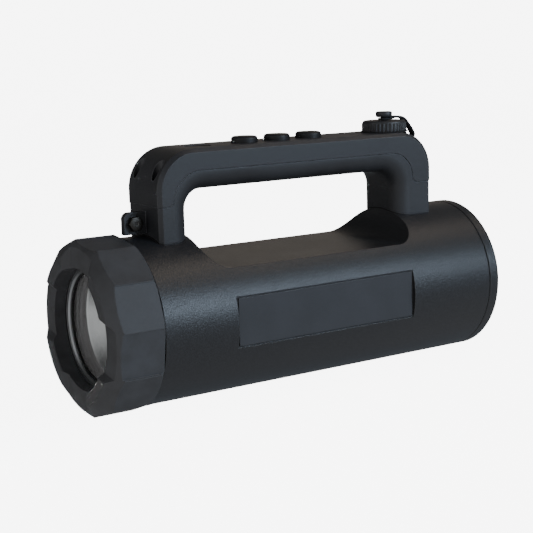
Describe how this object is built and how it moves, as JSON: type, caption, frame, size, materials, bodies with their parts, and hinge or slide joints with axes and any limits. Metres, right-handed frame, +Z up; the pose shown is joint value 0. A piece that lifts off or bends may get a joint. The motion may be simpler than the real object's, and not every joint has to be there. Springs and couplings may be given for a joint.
{
  "type": "handheld searchlight",
  "caption": "Handheld searchlight: round metal body, faceted screw-on bezel, arched two-part handle with push buttons, and a tethered dust cap over the charging port.",
  "frame": {"origin": "mid-length of the light, on its middle plane, level with the bezel's lowest edge", "axes": "+X along the tube towards the rear cap (the beam leaves along -X), +Z up through the handle, -Y towards the label flat"},
  "size_m": [0.2498, 0.0914, 0.1457],
  "materials": {
    "anodised_black": "bead-blasted, black anodised",
    "bezel_black": "machined, matte black anodised",
    "ring_grey": "satin grey",
    "rubber_black": "matte",
    "clear_glass": "polished",
    "bright_reflector": "bright polished",
    "ceramic_white": "unglazed ceramic",
    "black_plastic": "fine moulded texture",
    "case_grey": "plain",
    "board_green": "solder mask",
    "cell_blue": "shrink-wrapped",
    "steel": "plain",
    "dark_steel": "dark oxide",
    "handle_charcoal": "fine moulded texture",
    "button_rubber": "matte",
    "dark_window": "smoked, polished",
    "gold_pins": "plated",
    "label_slate": "bare satin plate"
  },
  "bodies": {
    "shell": {"body_tube": "anodised_black", "reflector": "bright_reflector", "lamp_capsule": "clear_glass", "lamp_base": "ceramic_white", "lamp_holder": "black_plastic", "ballast": "case_grey", "front_contact": "board_green", "battery_cells": "cell_blue", "battery_sleeve": "black_plastic", "bezel_o_ring": "rubber_black", "foot_gaskets": "rubber_black", "handle_frame": "handle_charcoal", "handle_cover": "handle_charcoal", "handle_bolts": "steel", "cover_screws": "steel", "lug_bolt": "dark_steel", "handle_lead": "rubber_black", "switch_board": "board_green", "tact_switches": "black_plastic", "indicator_window": "dark_window", "port_shell": "black_plastic", "port_pins": "gold_pins", "tether_strap": "rubber_black", "label_plate": "label_slate"},
    "lens_pack": {"lens_ring": "ring_grey", "lens_gasket": "rubber_black", "front_lens": "clear_glass"},
    "bezel": {"front_bezel": "bezel_black"},
    "tail_pack": {"tail_contact": "board_green", "contact_spring": "steel"},
    "tail_cap": {"rear_cap": "anodised_black", "rear_cap_o_ring": "rubber_black"},
    "button_1": {"button_front": "button_rubber"},
    "button_2": {"button_middle": "button_rubber"},
    "button_3": {"button_rear": "button_rubber"},
    "cap_eye": {"tether_eye": "rubber_black"},
    "port_cap": {"dust_cap": "black_plastic", "dust_cap_seal": "rubber_black"}
  },
  "joints": [
    {"name": "lens_pack_travel", "type": "slide", "parent": "shell", "child": "lens_pack", "axis": [-1, 0, 0], "range_m": [0, 0.00401]},
    {"name": "bezel_unscrew", "type": "hinge", "parent": "lens_pack", "child": "bezel", "pos_m": [-0.0959, 0, 0.04568], "axis": [-1, 0, 0], "range_deg": [0, 720]},
    {"name": "tail_pack_travel", "type": "slide", "parent": "shell", "child": "tail_pack", "axis": [1, 0, 0], "range_m": [0, 0.00401]},
    {"name": "rear_cap_unscrew", "type": "hinge", "parent": "tail_pack", "child": "tail_cap", "pos_m": [0.1173, 0, 0.04568], "axis": [1, 0, 0], "range_deg": [0, 720]},
    {"name": "button_front_press", "type": "slide", "parent": "shell", "child": "button_1", "axis": [0, 0, -1], "range_m": [0, 0.0015], "stiffness_N_per_m": 300},
    {"name": "button_middle_press", "type": "slide", "parent": "shell", "child": "button_2", "axis": [0, 0, -1], "range_m": [0, 0.0015], "stiffness_N_per_m": 300},
    {"name": "button_rear_press", "type": "slide", "parent": "shell", "child": "button_3", "axis": [0, 0, -1], "range_m": [0, 0.0015], "stiffness_N_per_m": 300},
    {"name": "tether_eye_lift", "type": "slide", "parent": "shell", "child": "cap_eye", "axis": [0, 0, 1], "range_m": [0, 0.003], "deforming": ["tether_strap"]},
    {"name": "dust_cap_unscrew", "type": "hinge", "parent": "cap_eye", "child": "port_cap", "pos_m": [0.0751, 0, 0.13468], "axis": [0, 0, 1], "range_deg": [0, 721]}
  ],
  "couplings": [
    {"joint": "lens_pack_travel", "follows": "bezel_unscrew", "m_per_rad": 0.00031831},
    {"joint": "tail_pack_travel", "follows": "rear_cap_unscrew", "m_per_rad": 0.00031831},
    {"joint": "dust_cap_unscrew", "follows": "tether_eye_lift", "rad_per_m": 4188.8}
  ]
}
